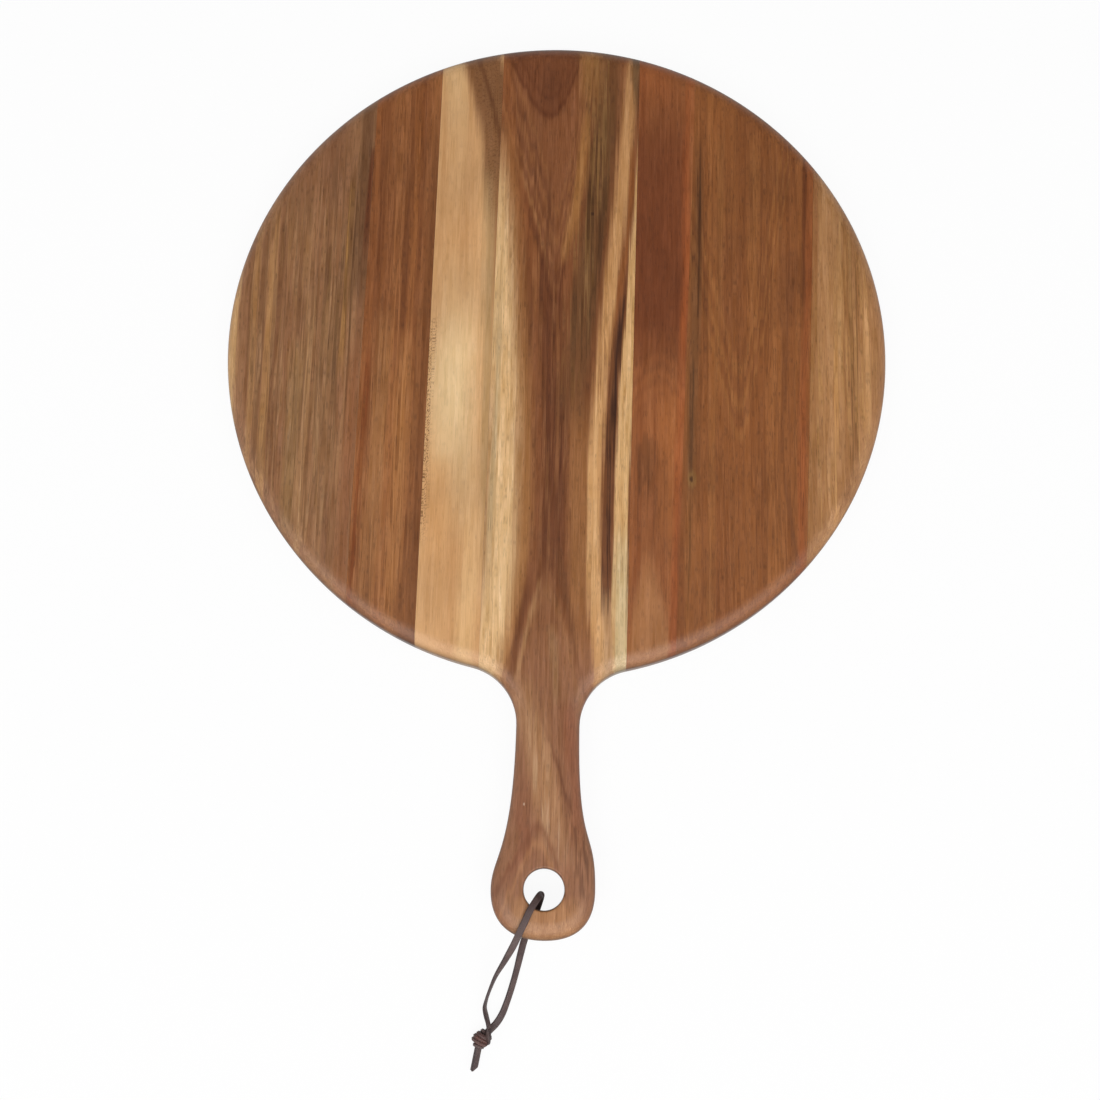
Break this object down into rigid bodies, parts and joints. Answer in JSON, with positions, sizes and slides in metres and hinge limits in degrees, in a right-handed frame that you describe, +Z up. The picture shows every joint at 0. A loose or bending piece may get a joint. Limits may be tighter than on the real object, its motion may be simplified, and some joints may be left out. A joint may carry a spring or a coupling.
{
  "type": "wooden serving board",
  "caption": "Round serving board of edge-glued acacia planks with a waisted handle, a hanging hole and a knotted leather thong looped through it.",
  "frame": {"origin": "middle of the round on the flat face that the board rests on", "axes": "+Z up out of the serving face, +Y along the grain away from the handle, +X to the right when the handle points to the viewer"},
  "size_m": [0.3, 0.4668, 0.0166],
  "materials": {
    "acacia_left_outer": "oiled acacia, grey-brown heartwood with fine streaks",
    "acacia_left_middle": "oiled acacia, orange-brown heartwood",
    "acacia_left_inner": "oiled acacia, pale sapwood",
    "acacia_handle": "oiled acacia, dark heart with sapwood edges",
    "acacia_right_inner": "oiled acacia, reddish heartwood",
    "acacia_right_middle": "oiled acacia, mid-brown heartwood",
    "acacia_right_outer": "oiled acacia, tan striped heartwood",
    "lace_leather": "dark brown flat leather lace with cut edges"
  },
  "bodies": {
    "board": {"plank_left_outer": "acacia_left_outer", "plank_left_middle": "acacia_left_middle", "plank_left_inner": "acacia_left_inner", "plank_handle": "acacia_handle", "plank_right_inner": "acacia_right_inner", "plank_right_middle": "acacia_right_middle", "plank_right_outer": "acacia_right_outer"},
    "thong": {"thong_loop": "lace_leather", "thong_knot": "lace_leather", "thong_tail_lower": "lace_leather", "thong_tail_upper": "lace_leather"}
  },
  "joints": [
    {"name": "thong_swing", "type": "hinge", "parent": "board", "child": "thong", "pos_m": [0, -0.241, 0.0075], "axis": [0, 0, 1], "range_deg": [-50, 90]}
  ]
}
